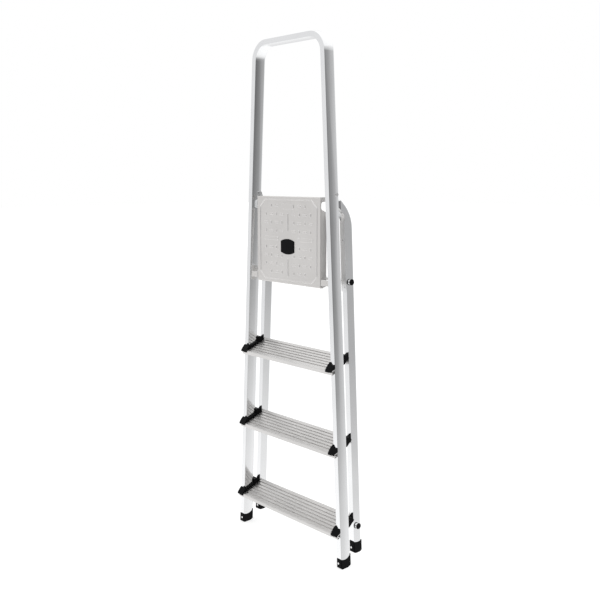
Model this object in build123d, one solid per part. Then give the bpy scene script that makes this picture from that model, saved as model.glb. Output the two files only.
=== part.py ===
from build123d import *
import math
import os

os.makedirs("parts", exist_ok=True)

# Millimetres. X runs to the right as seen by the climber, Y runs back, Z runs up.
# The ladder is folded and stands on its front feet. The floor is at Z = 0.

# ---- driving dimensions ----
folded_height = 1610.5
front_face_y = -41.45       # front face of the front stiles
tube_width = 18             # both frames use tube of this width
tube_wall = 1.6

front_floor_half_width = 248.1
front_splay = 0.05488       # sideways travel of a stile per millimetre of height
front_tube_depth = 40
front_bend_radius = 55
front_side_bulge = 1.2

rear_floor_half_width = 242.1
rear_splay = 0.05117
rear_tube_depth = 33
rear_corner_radius = 5
leg_bend_front_z = 1076.2   # where the leg's straight front face would meet its leaning neck
leg_bend_back_z = 1080.7
leg_front_bend_radius = 28
leg_back_bend_radius = 100
leg_neck_reach = 21         # the neck leans forward this far, to just behind the front stile
leg_front_neck_rise = 1.126 # height gained per millimetre of reach along the neck's front
leg_back_neck_rise = 0.985
rear_foot_height = 29.5       # the rear feet hang this far above the floor when folded
frame_gap = 24              # between the back of the front frame and the rear frame
rear_face_y = front_face_y + front_tube_depth + frame_gap
rear_centre_y = rear_face_y + rear_tube_depth / 2

tread_tilt = 21.7           # treads are level once the front frame leans by this much
tread_depth = 94
tread_skin = 2
tread_apron = 14
tread_ridges = 7
tread_groove_width = 4.2
tread_groove_depth = 2.2
tread_nose_y = front_face_y - 14
tread_nose_heights = {"bottom": 110, "middle": 363.5, "top": 617}
collar_wall = 8             # black collar between a tread's end and the stile
nose_short_of_edge = 1.5    # the tread's nose runs across the stiles, almost to their outer edges

hinge_y = front_face_y + 30
hinge_z = 1138
hinge_pin_radius = 4
running_clearance = 0.05

platform_half_width = 147
platform_face_y = front_face_y + 3
platform_sheet = 2
platform_bottom = 858
platform_top = 1130
platform_flange_depth = 25
platform_lip_depth = 11
pivot_y = front_face_y + 16
pivot_z = 873
pivot_pin_radius = 4
hook_distance = 228         # from the platform's pivot to the middle of its hook notch
hook_near_side = 10         # the notch reaches this far on the pivot's side of the rod's seat
hook_far_side = 15
hook_end_gap = 3            # between the deck's face and the end of the notch
rod_radius = 8
rod_z = 876
brace_z = 115
cap_radius = 9.4
bar_stand_out = 4.5         # the cross bars' ends stand this far out of the rear legs
emboss_height = 1.5
emboss_slope = 38           # degrees; sides of the raised marks

foot_wall = 1.4
foot_sleeve_height = 44
front_foot_edge = (32, 29, 41)   # heights of a boot's scooped top edge: toe, middle, heel
rear_foot_edge = (36, 33, 39)
foot_rivet_height = 17
foot_rivet_radius = 3.4
front_foot_rounding = (8, 11)    # radii at a boot's toe and heel
rear_foot_rounding = (13, 7)
foot_sole_flat = 8
rear_sole_lean = 15
foot_tube_start = 10

front_centre_y = front_face_y + front_tube_depth / 2


def save(shape, name):
    export_step(shape, "parts/" + name + ".step")


def save_pair(right_shape, name):
    """Write a right-hand piece and its mirror image on the left."""
    save(right_shape, name + "_right")
    save(mirror(right_shape, about=Plane.YZ), name + "_left")


def x_cylinder(radius, x_from, x_to, y, z):
    """A round bar along X."""
    length = x_to - x_from
    return Pos((x_from + x_to) / 2, y, z) * Rot(0, 90, 0) * Cylinder(radius, length)


def block(x_from, x_to, y_from, y_to, z_from, z_to):
    size = Box(x_to - x_from, y_to - y_from, z_to - z_from)
    return Pos((x_from + x_to) / 2, (y_from + y_to) / 2, (z_from + z_to) / 2) * size


def side_profile(points, x_from, x_to):
    """Extrude a closed outline, given as (y, z) points, along X."""
    face = Plane.YZ * make_face(Polyline(*points, close=True))
    return Pos(x_from, 0, 0) * extrude(face, amount=x_to - x_from, dir=(1, 0, 0))


def front_outer_x(z):
    return front_floor_half_width - front_splay * z


def front_inner_x(z):
    return front_outer_x(z) - tube_width


def rear_outer_x(z):
    return rear_floor_half_width - rear_splay * z


def rear_inner_x(z):
    return rear_outer_x(z) - tube_width


def stile_plane(floor_half_width, splay, face_y):
    """Plane square to the right stile at the floor: local X out, local Y back, local Z up it."""
    tilt = math.hypot(1, splay)
    return Plane(
        origin=(floor_half_width - tube_width / 2, face_y, 0),
        x_dir=(1 / tilt, 0, splay / tilt),
        z_dir=(-splay / tilt, 0, 1 / tilt),
    )


front_plane = stile_plane(front_floor_half_width, front_splay, front_face_y)
rear_plane = stile_plane(rear_floor_half_width, rear_splay, rear_face_y)


# ---- frames ----
def tube_outline(depth, bulge):
    """Flat narrow front and back, both sides bulged a little, soft rear corners."""
    half = tube_width / 2
    edges = [
        Line((-half, 0), (half, 0)),
        ThreePointArc((half, 0), (half + bulge, depth / 2), (half, depth)),
        Line((half, depth), (-half, depth)),
        ThreePointArc((-half, depth), (-half - bulge, depth / 2), (-half, 0)),
    ]
    face = make_face(edges)
    front_corners = face.vertices().filter_by(lambda v: v.Y < 1)
    face = fillet(front_corners, 1.6)
    rear_corners = face.vertices().filter_by(lambda v: v.Y > depth - 0.01)
    return fillet(rear_corners, 5)


def tube_bore(depth):
    half = tube_width / 2 - tube_wall
    face = Pos(0, depth / 2) * Rectangle(2 * half, depth - 2 * tube_wall)
    return fillet(face.vertices(), 1.5)


def hoop(floor_half_width, splay, top, radius, start_z, face_y, outline):
    """Sweep a tube outline up the left stile, over the top and down the right stile."""
    centre_top = top - tube_width / 2
    low_x = floor_half_width - tube_width / 2 - splay * start_z
    high_x = floor_half_width - tube_width / 2 - splay * centre_top
    path = FilletPolyline(
        (-low_x, start_z), (-high_x, centre_top), (high_x, centre_top), (low_x, start_z), radius=radius
    )
    path = Pos(0, face_y, 0) * (Plane.XZ * path)
    tangent = path % 0
    start = Plane(origin=path @ 0, x_dir=(tangent.Z, 0, -tangent.X), z_dir=tangent)
    return sweep(start * outline, path=path)


def front_hoop_solid():
    outline = tube_outline(front_tube_depth, front_side_bulge)
    return hoop(front_floor_half_width, front_splay, folded_height, front_bend_radius,
                foot_tube_start, front_face_y, outline)


def leg_outline():
    """Side outline of a rear leg, as (back, up) in its own plane: straight, then a neck leaning forward."""
    bottom = rear_foot_height + foot_tube_start
    end_front_z = leg_bend_front_z + leg_front_neck_rise * leg_neck_reach
    end_back_z = leg_bend_back_z + leg_back_neck_rise * (rear_tube_depth + leg_neck_reach)
    face = make_face(Polyline(
        (0, bottom), (0, leg_bend_front_z), (-leg_neck_reach, end_front_z),
        (-leg_neck_reach, end_back_z), (rear_tube_depth, leg_bend_back_z), (rear_tube_depth, bottom),
        close=True))

    def corner(y, z):
        return face.vertices().sort_by_distance((y, z, 0))[0]

    face = fillet(corner(0, leg_bend_front_z), leg_front_bend_radius)
    face = fillet(corner(rear_tube_depth, leg_bend_back_z), leg_back_bend_radius)
    return fillet(corner(-leg_neck_reach, end_back_z), 6)


def on_leg_back(edge):
    """True for the long edges along a leg's back and the top of its neck."""
    centre = edge.center()
    middle = rear_tube_depth / 2
    neck_middle = leg_bend_back_z + (middle - centre.Y)
    return centre.Y > middle if centre.Z < leg_bend_back_z else centre.Z > neck_middle


def leg_prism(outline, half_width, radius):
    """Extrude a leg's side outline and round the long edges of its back."""
    prism = extrude(Plane.YZ * outline, amount=half_width, both=True)
    sides = prism.edges().filter_by(lambda e: abs(abs(e.center().X) - half_width) < 0.01)
    long_edges = sides.filter_by(lambda e: on_leg_back(e) and e.length > 8)
    return fillet(long_edges, radius)


def rear_leg_solid():
    return rear_plane * leg_prism(leg_outline(), tube_width / 2, rear_corner_radius)


def front_frame(solid):
    bore = hoop(front_floor_half_width, front_splay, folded_height, front_bend_radius,
                foot_tube_start, front_face_y, tube_bore(front_tube_depth))
    frame = solid - bore
    return frame - x_cylinder(hinge_pin_radius, -300, 300, hinge_y, hinge_z)


def rear_leg(solid):
    bore_outline = offset(leg_outline(), amount=-tube_wall)
    bore = leg_prism(bore_outline, tube_width / 2 - tube_wall, rear_corner_radius - tube_wall)
    bore += Pos(0, rear_tube_depth / 2, rear_foot_height + foot_tube_start) * Box(
        tube_width - 2 * tube_wall, rear_tube_depth - 4 * tube_wall, 20)
    leg = solid - rear_plane * bore
    leg -= x_cylinder(rod_radius, -300, 300, rear_centre_y, rod_z)
    return leg - x_cylinder(rod_radius, -300, 300, rear_centre_y, brace_z)


# ---- feet ----
def foot(plane, depth, floor_z, lean, lean_to_back, top_edge, rounding, tube_solid):
    """A moulded boot with a scooped top and a rounded sole, bevelled to stand flat when open."""
    width = tube_width + 2 * foot_wall
    half = depth / 2 + foot_wall
    low, high = floor_z - 12, floor_z + foot_sleeve_height
    sleeve = Pos(0, depth / 2, (low + high) / 2) * Box(width, 2 * half, high - low)
    sleeve = plane * fillet(sleeve.edges().filter_by(Axis.Z), 3.2)
    reach = half + 1
    heel_z = floor_z + (half - foot_sole_flat) * math.tan(math.radians(lean))
    toe_top, middle_top, heel_top = (floor_z + height for height in top_edge)
    outline = make_face([
        ThreePointArc((-reach, toe_top), (0, middle_top), (reach, heel_top)),
        Line((reach, heel_top), (reach, heel_z)),
        Line((reach, heel_z), (foot_sole_flat, floor_z)),
        Line((foot_sole_flat, floor_z), (-reach, floor_z)),
        Line((-reach, floor_z), (-reach, toe_top)),
    ])
    outline = fillet(outline.vertices().sort_by_distance((-reach, floor_z, 0))[0], rounding[0])
    outline = fillet(outline.vertices().sort_by_distance((reach, heel_z, 0))[0], rounding[1])
    if not lean_to_back:
        outline = mirror(outline, about=Plane.YZ)
    centre = plane.origin.Y + depth / 2
    shape = Pos(0, centre, 0) * extrude(Plane.YZ * outline, amount=300, both=True)
    return (sleeve & shape) - tube_solid


def foot_rivet(plane, floor_z):
    """A small domed pin head in the front face of a foot."""
    seat = Pos(0, -foot_wall, floor_z + foot_rivet_height) * Rot(90, 0, 0)
    head = seat * Pos(-2, 0, 0.5) * Cylinder(foot_rivet_radius, 1.0)
    head = fillet(head.faces().sort_by(Axis.Y)[0].edges(), 0.6)
    return plane * head


# ---- treads ----
def tread_plane(nose_z):
    lean = math.radians(tread_tilt)
    return Plane(
        origin=(0, tread_nose_y, nose_z),
        x_dir=(0, math.cos(lean), math.sin(lean)),
        z_dir=(1, 0, 0),
    )


def tread_end_x(nose_z):
    """The tread stops short of the inside of the stile by the collar's wall."""
    return front_inner_x(nose_z + 15) - collar_wall


def tread(nose_z):
    """Ribbed extrusion: a grooved deck with a front apron, a rear apron and two ribs below."""
    deck = make_face(Polyline((0, 0), (tread_depth, 0), (tread_depth, -tread_apron),
                              (0, -tread_apron), close=True))
    deck = fillet(deck.vertices().filter_by(lambda v: v.Y > -1), 2.2)
    bays = ((tread_skin, 30), (32, 62), (64, tread_depth - tread_skin))
    for left, right in bays:
        floor = -tread_apron - 1
        deck -= make_face(Polyline((left, -tread_skin - tread_groove_depth),
                                   (right, -tread_skin - tread_groove_depth),
                                   (right, floor), (left, floor), close=True))
    lip = make_face(Polyline((0, -tread_apron), (7, -tread_apron), (7, -tread_apron + 1.6),
                             (0, -tread_apron + 1.6), close=True))
    deck += lip
    deck += Pos(tread_depth - 7, 0) * lip
    pitch = (tread_depth - 6) / tread_ridges
    for index in range(1, tread_ridges):
        centre = 3 + index * pitch
        deck -= Pos(centre, 0) * Rectangle(tread_groove_width, 2 * tread_groove_depth)
    section = tread_plane(nose_z) * deck

    def extrusion(end):
        return Pos(-end, 0, 0) * extrude(section, amount=2 * end, dir=(1, 0, 0))

    nose_end = front_outer_x(nose_z) - nose_short_of_edge
    before_stiles = block(-nose_end, nose_end, tread_nose_y - 5, front_face_y - 0.3,
                          nose_z - 40, nose_z + 40)
    return extrusion(tread_end_x(nose_z)) + (extrusion(nose_end) & before_stiles)


def nose_room(nose_z):
    """Room a collar leaves for the tread's nose, in front of the stile."""
    outline = make_face(Polyline((0, 0), (40, 0), (40, -tread_apron - 8), (0, -tread_apron - 8), close=True))
    outline = fillet(outline.vertices().sort_by_distance((0, 0, 0))[0], 2.2)
    room = extrude(tread_plane(nose_z) * outline, amount=300, dir=(1, 0, 0))
    return room & block(0, 301, tread_nose_y - 5, front_face_y - 0.2, nose_z - 60, nose_z + 60)


def tread_collar(nose_z, stile_solid):
    """Black collar: a low wall beside the stile, a wedge on the tread's nose and a block behind the stile."""
    rise = math.tan(math.radians(tread_tilt))

    def at(y, above):
        """A point of the outline, this far above the sloping top of the tread."""
        return y, nose_z + rise * (y - tread_nose_y) + above

    start = tread_end_x(nose_z)
    beyond = front_outer_x(nose_z) + 12
    front_y = tread_nose_y - 1.5
    behind_y = front_face_y + front_tube_depth
    back_y = rear_face_y - 2
    wall = side_profile([
        at(front_y, -4), at(front_y, 2), at(front_y + 6, 6), at(front_face_y, 8),
        at(behind_y, 8), at(back_y - 8, 12), at(back_y - 2, 8), at(back_y, 2),
        at(back_y, -4), at(back_y - 18, -12), at(front_face_y, -12),
    ], start, beyond)
    inside = block(start, front_inner_x(nose_z) + 6, front_y - 1, back_y + 1, nose_z - 60, nose_z + 90)
    wedge = side_profile([
        at(front_y, -3), at(front_y, 2), at(front_y + 6, 8), at(front_face_y - 3, 13),
        at(front_face_y + 2, 13), at(front_face_y + 2, 1), at(tread_nose_y + 1, -3),
    ], start, beyond)
    block_top = at(behind_y, 20)[1]
    block_behind = side_profile([
        at(behind_y - 2, -8), (behind_y - 2, block_top), (behind_y + 13, block_top),
        (behind_y + 18, block_top - 4), (back_y, block_top - 11), at(back_y, 0), at(behind_y + 3, -8),
    ], start, beyond)
    spike_x = front_inner_x(nose_z + 20)
    spike_low, spike_high = at(front_face_y, 8)[1], at(front_face_y, 19)[1]
    spike_outline = Polyline(
        (spike_x - collar_wall + 1, spike_low), (spike_x - 2, spike_high), (spike_x + 1, spike_high),
        (spike_x + 7, spike_low + 4), (spike_x + 7, spike_low), close=True)
    spike = extrude(Plane.XZ * make_face(spike_outline), amount=3, dir=(0, 1, 0))
    spike = Pos(0, front_face_y - 3, 0) * spike
    collar = (wall & inside) + wedge + block_behind + spike
    outer_limit = front_plane * (
        Pos(-100 + tube_width / 2, 20, nose_z) * Box(200, 300, 300))
    return (collar & outer_limit) - stile_solid - nose_room(nose_z)


# ---- platform ----
def platform_pan():
    """Pressed pan: deck to the front while folded, flanges turned to the back."""
    half = platform_half_width
    face_y = platform_face_y
    back_y = face_y + platform_flange_depth
    sheet = platform_sheet
    shell = block(-half, half, face_y, back_y, platform_bottom, platform_top)
    front_edges = shell.faces().sort_by(Axis.Y)[0].edges()
    shell = fillet(front_edges, 3)
    pan = shell - block(-half + sheet, half - sheet, face_y + sheet, back_y + 1,
                        platform_bottom + sheet, platform_top - sheet)
    lip_y = face_y + platform_lip_depth
    inner = half - sheet
    pan -= block(-inner, inner, lip_y, back_y + 1, platform_bottom - 1, platform_bottom + sheet + 1)
    pan -= block(-inner, inner, lip_y, back_y + 1, platform_top - sheet - 1, platform_top + 1)

    corner = back_y - pivot_y
    trim = block(-half - 1, half + 1, pivot_y, back_y + 1, platform_bottom - 1, pivot_z)
    trim -= x_cylinder(corner, -half - 2, half + 2, pivot_y, pivot_z)
    pan -= trim
    top_corner = block(-half - 1, half + 1, back_y - 8, back_y + 1, platform_top - 8, platform_top + 1)
    top_corner -= x_cylinder(8, -half - 2, half + 2, back_y - 8, platform_top - 8)
    pan -= top_corner

    hook_z = pivot_z + hook_distance
    hook_low = hook_z - hook_near_side
    notch = block(-half - 1, half + 1, face_y + hook_end_gap, back_y + 20, hook_low,
                  hook_z + hook_far_side)
    notch_end = notch.edges().filter_by(Axis.X).sort_by(Axis.Y)[:2]
    notch = fillet(notch_end, 8)
    lead_in = side_profile([
        (back_y + 0.5, hook_z), (back_y - 13, hook_z), (back_y - 13, hook_low),
        (back_y + 0.5, hook_low - 8),
    ], -half - 1, half + 1)
    pan -= (notch + lead_in)
    pan -= x_cylinder(pivot_pin_radius + running_clearance, -half - 1, half + 1, pivot_y, pivot_z)
    pan -= latch_outline(latch_hole_inset, 30)
    return pan + embossing()


latch_centre_z = 975
latch_half_width = 31
latch_side = 17
latch_half_height = 24
latch_hole_inset = 4
latch_stand_out = 1.6


def latch_outline(inset, depth):
    """Barrel shape with straight sides and arched ends, as a prism centred on the deck."""
    half = latch_half_width - inset
    side = latch_side - inset * 0.6
    top = latch_half_height - inset
    face = make_face([
        Line((-half, -side), (-half, side)),
        ThreePointArc((-half, side), (0, top), (half, side)),
        Line((half, side), (half, -side)),
        ThreePointArc((half, -side), (0, -top), (-half, -side)),
    ])
    prism = extrude(Plane.XZ * face, amount=depth, dir=(0, 1, 0))
    return Pos(0, platform_face_y - depth / 2, latch_centre_z) * prism


def platform_cap():
    """Black cap over the opening in the middle of the deck, snapped in from the front."""
    front = Pos(0, -latch_stand_out / 2, 0) * latch_outline(0, latch_stand_out)
    front = fillet(front.faces().sort_by(Axis.Y)[0].edges(), 0.9)
    neck = Pos(0, platform_sheet / 2, 0) * latch_outline(latch_hole_inset, platform_sheet)
    barb = Pos(0, platform_sheet + 1, 0) * latch_outline(latch_hole_inset - 1.5, 2)
    return front + neck + barb


def octagon(inset):
    """Eight-sided outline of the deck's pattern, moved in by an inset."""
    side, top, bottom, cut = 133 - inset, 1122 - inset, 867 + inset, 24 - 0.6 * inset
    return make_face(Polyline(
        (-side, bottom + cut), (-side, top - cut), (-side + cut, top), (side - cut, top),
        (side, top - cut), (side, bottom + cut), (side - cut, bottom), (-side + cut, bottom),
        close=True))


def embossing():
    """Raised anti-slip pattern: bars turned alternately across and up, ribs and an eight-sided border."""
    column_offsets = (28, 53, 78, 103)
    rows_above = (1101, 1075, 1049, 1023)
    rows_below = (971, 945, 919, 893)
    across, upright = SlotOverall(17, 7.5), Rot(0, 0, 90) * SlotOverall(12, 5.5)
    shapes = [octagon(0) - octagon(4), Pos(0, 1099.5) * RectangleRounded(56, 19, 5)]
    for first, rows in ((1, rows_above), (0, rows_below)):
        for row, z in enumerate(rows):
            for column, offset in enumerate(column_offsets):
                near_middle = column == 0 and z in (1101, 971)
                outer_corner = column == 3 and z in (1101, 893)
                if near_middle or outer_corner:
                    continue
                bar = across if (row + column) % 2 == first else upright
                shapes += [Pos(offset, z) * bar, Pos(-offset, z) * bar]
    for side in (-1, 1):
        shapes.append(Pos(side * 78, 998.5) * SlotOverall(68, 12))
    for z in (1050, 909):
        shapes.append(Pos(0, z) * Rot(0, 0, 90) * SlotOverall(58, 5.5))
    raised = []
    for shape in shapes:
        for face in shape.faces():
            mark = extrude(Plane.XZ * face, amount=emboss_height, taper=emboss_slope)
            raised.append(Pos(0, platform_face_y, 0) * mark)
    return raised


def platform_bracket(stile_solid):
    """Folded bracket that carries the platform's pivot, riveted inside the right stile."""
    gap_side = platform_half_width + 1.2
    ear = 2.5
    front_y = front_face_y + 4
    depth = 26
    inner_ear = block(gap_side, gap_side + ear, front_y, pivot_y, pivot_z - 6, pivot_z + 12)
    inner_ear += x_cylinder(12, gap_side, gap_side + ear, pivot_y, pivot_z)
    web = block(gap_side, front_inner_x(pivot_z) + 8, front_y, front_y + ear, pivot_z - 6, pivot_z + 12)
    stile_side = Pos(-tube_width / 2 - ear / 2, 4 + depth / 2, pivot_z + 9) * Box(ear, depth, 46)
    stile_side = fillet(stile_side.edges().filter_by(Axis.X).sort_by(Axis.Y)[2:], 8)
    stile_side = front_plane * stile_side
    inner_limit = front_plane * (Pos(-tube_width / 2 - 50, 20, pivot_z) * Box(100, 100, 100))
    bracket = inner_ear + (web & inner_limit) + stile_side - stile_solid
    return bracket - x_cylinder(pivot_pin_radius, 100, gap_side + 5, pivot_y, pivot_z)


def platform_pin():
    """Pivot pin with a head on each end, through the bracket's ear and the platform's flange."""
    inside = platform_half_width - platform_sheet
    outside = platform_half_width + 1.2 + 2.5
    pin = x_cylinder(pivot_pin_radius, inside - 1, outside + 1, pivot_y, pivot_z)
    pin += x_cylinder(7, inside - 2.6, inside - 0.4, pivot_y, pivot_z)
    pin += x_cylinder(7, outside, outside + 2.4, pivot_y, pivot_z)
    return pin + x_cylinder(6.5, platform_half_width + 0.4, platform_half_width + 1.2, pivot_y, pivot_z)


def bracket_rivet(height_offset):
    local = Pos(-tube_width / 2 - 2.5, 20, pivot_z + height_offset) * Rot(0, -90, 0)
    head = local * Pos(0, 0, 0.8) * Cylinder(3.4, 1.6)
    return front_plane * head


def keeper(stile_solid):
    """Oblong dished stop on the inside of the stile beside the hook notch."""
    base = SlotOverall(27, 14)
    body = extrude(base, amount=5)
    body = fillet(body.faces().sort_by(Axis.Z)[-1].edges(), 1)
    body -= Pos(0, 0, 2.5) * extrude(SlotOverall(20, 7.5), amount=4)
    body = Rot(0, 0, 90) * body
    upright = Rot(0, -90, 0) * (Rot(0, 0, 90) * body)
    seat = Pos(-tube_width / 2, 20, 1106)
    return front_plane * (seat * upright) - stile_solid


# ---- hinge between the front frame and the rear legs ----
arm_sheet = 2
arm_bottom = 847
arm_strip_top = 1062         # just below where the rear leg starts to bend
arm_ear_radius = 6.5


def hinge_arm():
    """Angle plate riveted to a rear leg; it follows the leg's neck forward to the hinge."""
    strip = Pos(-arm_sheet / 2, -arm_sheet / 2, (arm_bottom + arm_strip_top) / 2) * Box(
        tube_width + arm_sheet, arm_sheet, arm_strip_top - arm_bottom)
    low_edges = strip.edges().filter_by(Axis.Y).sort_by(Axis.Z)[:2]
    strip = rear_plane * fillet(low_edges, 8)
    ear_zone = rear_plane * (
        Pos(-tube_width / 2 - arm_sheet / 2, 0, 1000) * Box(arm_sheet, 300, 600))
    front, back = rear_face_y - arm_sheet, rear_face_y + 26
    outline = [
        (front, arm_bottom + 8), (front + 8, arm_bottom), (back - 8, arm_bottom), (back, arm_bottom + 8),
        (back, 1040), (back - 4, 1068), (rear_face_y + 2, 1104), (hinge_y + 13, 1128),
        (hinge_y + 6, hinge_z + 3), (hinge_y - 6, hinge_z - 3), (rear_face_y - 18, 1092), (front, 1064),
    ]
    ear = side_profile(outline, 100, 250) + x_cylinder(arm_ear_radius, 100, 250, hinge_y, hinge_z)
    arm = strip + (ear & ear_zone)
    arm -= x_cylinder(hinge_pin_radius + running_clearance, 100, 300, hinge_y, hinge_z)
    return arm - x_cylinder(rod_radius, 100, 300, rear_centre_y, rod_z)


def arm_rivet(z):
    return rear_plane * (Pos(0, -arm_sheet - 0.9, z) * Rot(90, 0, 0) * Cylinder(3.4, 1.8))


def hinge_rivet():
    """Rivet through the front stile and the ear of the hinge plate."""
    outer = front_outer_x(hinge_z) + front_side_bulge
    ear_inner = rear_inner_x(hinge_z) - arm_sheet - 1.2
    pin = x_cylinder(hinge_pin_radius, ear_inner - 1, outer + 0.5, hinge_y, hinge_z)
    pin += x_cylinder(5.5, outer + 0.2, outer + 1.8, hinge_y, hinge_z)
    return pin + x_cylinder(5.5, ear_inner - 2, ear_inner, hinge_y, hinge_z)


# ---- cross members between the rear legs ----
def cross_bar(z):
    half = rear_outer_x(z) + bar_stand_out
    bar = x_cylinder(rod_radius, -half, half, rear_centre_y, z)
    return bar - x_cylinder(rod_radius - 1.5, -half - 1, half + 1, rear_centre_y, z)


def bar_cap(z):
    """Domed push-in cap that closes the end of a cross bar."""
    face_x = rear_outer_x(z) + bar_stand_out
    dome = x_cylinder(cap_radius, face_x, face_x + 3.2, rear_centre_y, z)
    dome = fillet(dome.faces().sort_by(Axis.X)[-1].edges(), 2)
    return dome + x_cylinder(rod_radius - 1.6, face_x - 12, face_x + 1, rear_centre_y, z)


# ---- assembly ----
front_solid = front_hoop_solid()
leg_solid = rear_leg_solid()
save(front_frame(front_solid), "front_frame")
save_pair(rear_leg(leg_solid), "rear_leg")

for place, nose in tread_nose_heights.items():
    save(tread(nose), "tread_" + place)
    save_pair(tread_collar(nose, front_solid), "tread_collar_" + place)

save_pair(foot(front_plane, front_tube_depth, 0, tread_tilt, True, front_foot_edge,
               front_foot_rounding, front_solid), "front_foot")
save_pair(foot_rivet(front_plane, 0), "front_foot_rivet")
save_pair(foot(rear_plane, rear_tube_depth, rear_foot_height, rear_sole_lean, False, rear_foot_edge,
               rear_foot_rounding, leg_solid), "rear_foot")
save_pair(foot_rivet(rear_plane, rear_foot_height), "rear_foot_rivet")

save(platform_pan(), "platform_pan")
save(platform_cap(), "platform_cap")
save_pair(platform_bracket(front_solid), "platform_bracket")
save_pair(platform_pin(), "platform_pin")
save_pair(bracket_rivet(26), "bracket_rivet_upper")
save_pair(bracket_rivet(-8), "bracket_rivet_lower")
save_pair(keeper(front_solid), "platform_keeper")

save_pair(hinge_arm(), "hinge_arm")
save_pair(arm_rivet(1003), "arm_rivet_upper")
save_pair(arm_rivet(862), "arm_rivet_lower")
save_pair(hinge_rivet(), "hinge_rivet")

save(cross_bar(rod_z), "platform_rod")
save_pair(bar_cap(rod_z), "rod_cap")
save(cross_bar(brace_z), "rear_brace")
save_pair(bar_cap(brace_z), "brace_cap")
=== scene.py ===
import math
import bpy
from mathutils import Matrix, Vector

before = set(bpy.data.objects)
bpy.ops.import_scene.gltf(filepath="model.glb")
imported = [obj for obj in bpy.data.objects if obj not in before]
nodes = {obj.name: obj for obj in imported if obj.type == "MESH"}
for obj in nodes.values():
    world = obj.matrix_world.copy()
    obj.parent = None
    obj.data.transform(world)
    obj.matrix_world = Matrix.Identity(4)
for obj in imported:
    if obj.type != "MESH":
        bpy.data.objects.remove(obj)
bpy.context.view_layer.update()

# Metres. Noise scales are repeats per metre of the piece's own coordinates.
line_scale = 60
cloud_scale = 9
grain_scale = 900
relief_depth = 0.0003
grain_strength = 0.15
highlight_radius = 0.0012        # how far the painted highlight reaches from a pressed edge
floor_size = 60
photo_pixels = 600
focal_pixels = 819.5


# ---- node-group helpers ----
def new_material(name):
    material = bpy.data.materials.new(name)
    material.use_nodes = True
    tree = material.node_tree
    tree.nodes.clear()
    output = tree.nodes.new("ShaderNodeOutputMaterial")
    shader = tree.nodes.new("ShaderNodeBsdfPrincipled")
    tree.links.new(shader.outputs["BSDF"], output.inputs["Surface"])
    return material, tree, shader


def object_coordinates(tree, scale):
    coordinates = tree.nodes.new("ShaderNodeTexCoord")
    mapping = tree.nodes.new("ShaderNodeMapping")
    mapping.inputs["Scale"].default_value = scale
    tree.links.new(coordinates.outputs["Object"], mapping.inputs["Vector"])
    return mapping.outputs["Vector"]


def noise(tree, vector, scale, detail=4.0):
    node = tree.nodes.new("ShaderNodeTexNoise")
    node.inputs["Scale"].default_value = scale
    node.inputs["Detail"].default_value = detail
    tree.links.new(vector, node.inputs["Vector"])
    return node.outputs["Fac"]


def color_ramp(tree, value, stops):
    """Blend between colours placed along a 0 to 1 value."""
    node = tree.nodes.new("ShaderNodeValToRGB")
    elements = node.color_ramp.elements
    for place, color in stops[1:-1]:
        elements.new(place)
    for element, (place, color) in zip(elements, stops):
        element.position = place
        element.color = (*color, 1)
    tree.links.new(value, node.inputs["Fac"])
    return node.outputs["Color"]


def span(tree, value, low, high, start=0.0, end=1.0):
    node = tree.nodes.new("ShaderNodeMapRange")
    node.inputs["From Min"].default_value = start
    node.inputs["From Max"].default_value = end
    node.inputs["To Min"].default_value = low
    node.inputs["To Max"].default_value = high
    tree.links.new(value, node.inputs["Value"])
    return node.outputs["Result"]


def bump(tree, shader, value, strength, distance):
    node = tree.nodes.new("ShaderNodeBump")
    node.inputs["Strength"].default_value = strength
    node.inputs["Distance"].default_value = distance
    tree.links.new(value, node.inputs["Height"])
    tree.links.new(node.outputs["Normal"], shader.inputs["Normal"])


def brushed_metal(name, low, high, rough, stretch, metallic=1.0, relief=0.06):
    """Metal with fine drawing lines along one axis."""
    material, tree, shader = new_material(name)
    lines = noise(tree, object_coordinates(tree, stretch), line_scale)
    cloud = noise(tree, object_coordinates(tree, (1, 1, 1)), cloud_scale, 2)
    tint = color_ramp(tree, cloud, [(0.3, low), (0.7, high)])
    tree.links.new(tint, shader.inputs["Base Color"])
    tree.links.new(span(tree, lines, rough[0], rough[1]), shader.inputs["Roughness"])
    shader.inputs["Metallic"].default_value = metallic
    bump(tree, shader, lines, relief, relief_depth)
    return material


def paint_edge_highlights(material, radius, color):
    """Painted highlight: lighten the crests and creases of pressed marks towards the given colour,
    standing in for the light they catch.
    """
    tree = material.node_tree
    shader = next(node for node in tree.nodes if node.type == "BSDF_PRINCIPLED")
    base = shader.inputs["Base Color"].links[0].from_socket
    rounded = tree.nodes.new("ShaderNodeBevel")
    rounded.samples = 8
    rounded.inputs["Radius"].default_value = radius
    flat = tree.nodes.new("ShaderNodeNewGeometry")
    likeness = tree.nodes.new("ShaderNodeVectorMath")
    likeness.operation = "DOT_PRODUCT"
    tree.links.new(rounded.outputs["Normal"], likeness.inputs[0])
    tree.links.new(flat.outputs["Normal"], likeness.inputs[1])
    # painted highlight mask: 1 at pressed edges, where the rounded normal turns away from the flat one
    highlight_mask = span(tree, likeness.outputs["Value"], 1, 0, 0.90, 0.995)
    blend = tree.nodes.new("ShaderNodeMixRGB")
    blend.inputs["Color2"].default_value = (*color, 1)
    tree.links.new(highlight_mask, blend.inputs["Fac"])
    tree.links.new(base, blend.inputs["Color1"])
    tree.links.new(blend.outputs["Color"], shader.inputs["Base Color"])


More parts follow.
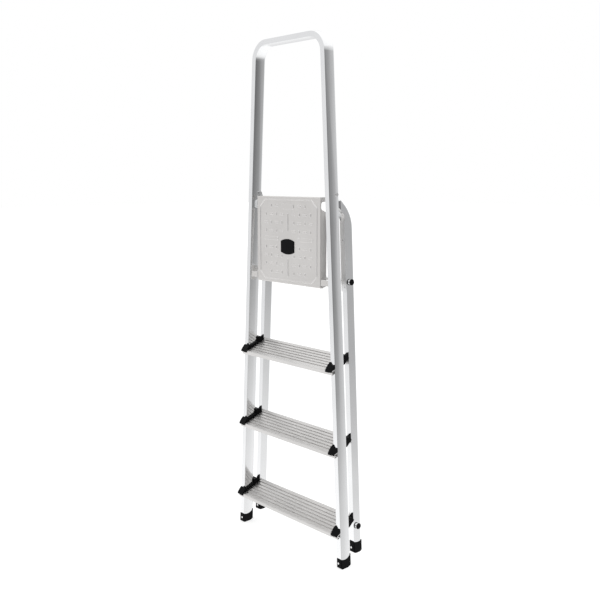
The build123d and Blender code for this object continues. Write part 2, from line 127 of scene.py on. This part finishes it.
frame_metal = brushed_metal(
    "anodised_tube", (0.80, 0.805, 0.81), (0.84, 0.845, 0.85), (0.10, 0.14), (24, 24, 0.6), relief=0.02)
tread_metal = brushed_metal(
    "ribbed_tread", (0.60, 0.59, 0.58), (0.65, 0.64, 0.63), (0.34, 0.46), (0.6, 24, 24))
sheet_metal = brushed_metal(
    "platform_sheet", (0.61, 0.595, 0.58), (0.66, 0.645, 0.63), (0.30, 0.4), (10, 10, 10), metallic=0.8)
# painted highlight: white rims around the pressed marks and edges of the platform sheet
paint_edge_highlights(sheet_metal, highlight_radius, (1, 1, 1))
strip_metal = brushed_metal(
    "zinc_strip", (0.78, 0.785, 0.79), (0.84, 0.845, 0.85), (0.28, 0.38), (20, 20, 1))
rivet_metal = brushed_metal(
    "rivet", (0.72, 0.72, 0.72), (0.80, 0.80, 0.80), (0.22, 0.32), (8, 8, 8))


def moulded(name, colour, rough, gloss=0.5):
    """Moulded plastic with a fine grain."""
    material, tree, shader = new_material(name)
    grain = noise(tree, object_coordinates(tree, (1, 1, 1)), grain_scale, 2)
    shader.inputs["Base Color"].default_value = (*colour, 1)
    shader.inputs["Specular IOR Level"].default_value = gloss
    tree.links.new(span(tree, grain, rough, rough + 0.12), shader.inputs["Roughness"])
    bump(tree, shader, grain, grain_strength, relief_depth)
    return material


black_plastic = moulded("black_plastic", (0.003, 0.003, 0.0035), 0.4, 0.06)
grey_plastic = moulded("grey_plastic", (0.75, 0.76, 0.77), 0.4)


def material_for(name):
    if "rivet" in name or "pin" in name:
        return rivet_metal
    if name.startswith("tread_collar") or "foot" in name or "cap" in name:
        return black_plastic
    if name.startswith("tread"):
        return tread_metal
    if name.startswith(("platform_pan", "platform_bracket")):
        return sheet_metal
    if name.startswith("platform_keeper"):
        return grey_plastic
    if name.startswith("hinge_arm"):
        return strip_metal
    return frame_metal


for name, node in nodes.items():
    node.data.materials.clear()
    node.data.materials.append(material_for(name))
    for polygon in node.data.polygons:
        polygon.material_index = 0


# ---- floor ----
floor_material, _, floor_shader = new_material("floor")
floor_shader.inputs["Base Color"].default_value = (0.45, 0.45, 0.45, 1)
floor_shader.inputs["Roughness"].default_value = 1.0
floor_shader.inputs["Specular IOR Level"].default_value = 0.0
floor_shader.inputs["Emission Color"].default_value = (1, 1, 1, 1)
floor_shader.inputs["Emission Strength"].default_value = 0.70

bpy.ops.mesh.primitive_plane_add(size=floor_size, location=(0, 0, 0))
floor = bpy.context.object
floor.name = "floor"
floor.data.materials.append(floor_material)
floor.visible_glossy = False

# ---- studio: white backdrop, soft light that is weakest from the right and even from below ----
world = bpy.data.worlds.new("studio")
bpy.context.scene.world = world
world.use_nodes = True
tree = world.node_tree
tree.nodes.clear()


def studio_math(operation, first, second):
    """Join two numbers or sockets in the world's node tree."""
    node = tree.nodes.new("ShaderNodeMath")
    node.operation = operation
    for socket, value in zip(node.inputs, (first, second)):
        if isinstance(value, (int, float)):
            socket.default_value = value
        else:
            tree.links.new(value, socket)
    return node.outputs["Value"]


direction = tree.nodes.new("ShaderNodeTexCoord")
parts = tree.nodes.new("ShaderNodeSeparateXYZ")
tree.links.new(direction.outputs["Generated"], parts.inputs["Vector"])
azimuth = studio_math("ARCTAN2", parts.outputs["X"], parts.outputs["Y"])
turn = span(tree, azimuth, 0, 1, -math.pi, math.pi)

# Light by direction: degrees from the ladder's back round to its right, then by height.
around = [(-180, 0.75), (-133, 0.95), (-67, 0.85), (0, 0.95), (25, 0.9), (35, 0.72), (47, 0.40),
          (61, 0.09), (90, 0.04), (120, 0.13), (150, 0.45), (180, 0.75)]
soft = color_ramp(
    tree, turn, [((angle + 180) / 360, (level, level, level * 1.01)) for angle, level in around])
height = studio_math("ADD", studio_math("MULTIPLY", parts.outputs["Z"], 0.5), 0.5)
evenness = [(-0.6, 0.9), (-0.42, 0.70), (-0.345, 0.556), (-0.266, 0.418), (-0.147, 0.142),
            (-0.01, 0.06), (0.3, 0.1), (0.5, 0.9)]
brightness = [(-0.42, 1.23), (-0.345, 1.19), (-0.266, 1.05), (-0.147, 0.95), (0.2, 0.95), (0.5, 1.22)]


def by_height(stops):
    return color_ramp(tree, height, [((1 + z) / 2, (part, part, part)) for z, part in stops])


even_out = tree.nodes.new("ShaderNodeMixRGB")
even_out.inputs["Color2"].default_value = (1, 1, 1, 1)
tree.links.new(by_height(evenness), even_out.inputs["Fac"])
tree.links.new(soft, even_out.inputs["Color1"])
softness = tree.nodes.new("ShaderNodeBackground")
tree.links.new(even_out.outputs["Color"], softness.inputs["Color"])
tree.links.new(by_height(brightness), softness.inputs["Strength"])
backdrop = tree.nodes.new("ShaderNodeBackground")
backdrop.inputs["Color"].default_value = (1, 1, 1, 1)
path = tree.nodes.new("ShaderNodeLightPath")
choose = tree.nodes.new("ShaderNodeMixShader")
tree.links.new(path.outputs["Is Camera Ray"], choose.inputs["Fac"])
tree.links.new(softness.outputs["Background"], choose.inputs[1])
tree.links.new(backdrop.outputs["Background"], choose.inputs[2])
surface = tree.nodes.new("ShaderNodeOutputWorld")
tree.links.new(choose.outputs["Shader"], surface.inputs["Surface"])

# ---- camera ----
camera_data = bpy.data.cameras.new("camera")
camera = bpy.data.objects.new("camera", camera_data)
bpy.context.scene.collection.objects.link(camera)
bpy.context.scene.camera = camera
camera_data.sensor_width = 36
camera_data.lens = camera_data.sensor_width * focal_pixels / photo_pixels
yaw, pitch, distance = math.radians(47.43), math.radians(8.46), 2.5253
aim = Vector((0.0602, -0.04145, 0.8145))
back = Vector((math.sin(yaw) * math.cos(pitch), -math.cos(yaw) * math.cos(pitch), math.sin(pitch)))
camera.location = aim + back * distance
camera.rotation_mode = "QUATERNION"
camera.rotation_quaternion = (-back).to_track_quat("-Z", "Y")
camera_data.clip_start, camera_data.clip_end = 0.05, 200

bpy.context.scene.view_settings.view_transform = "Standard"
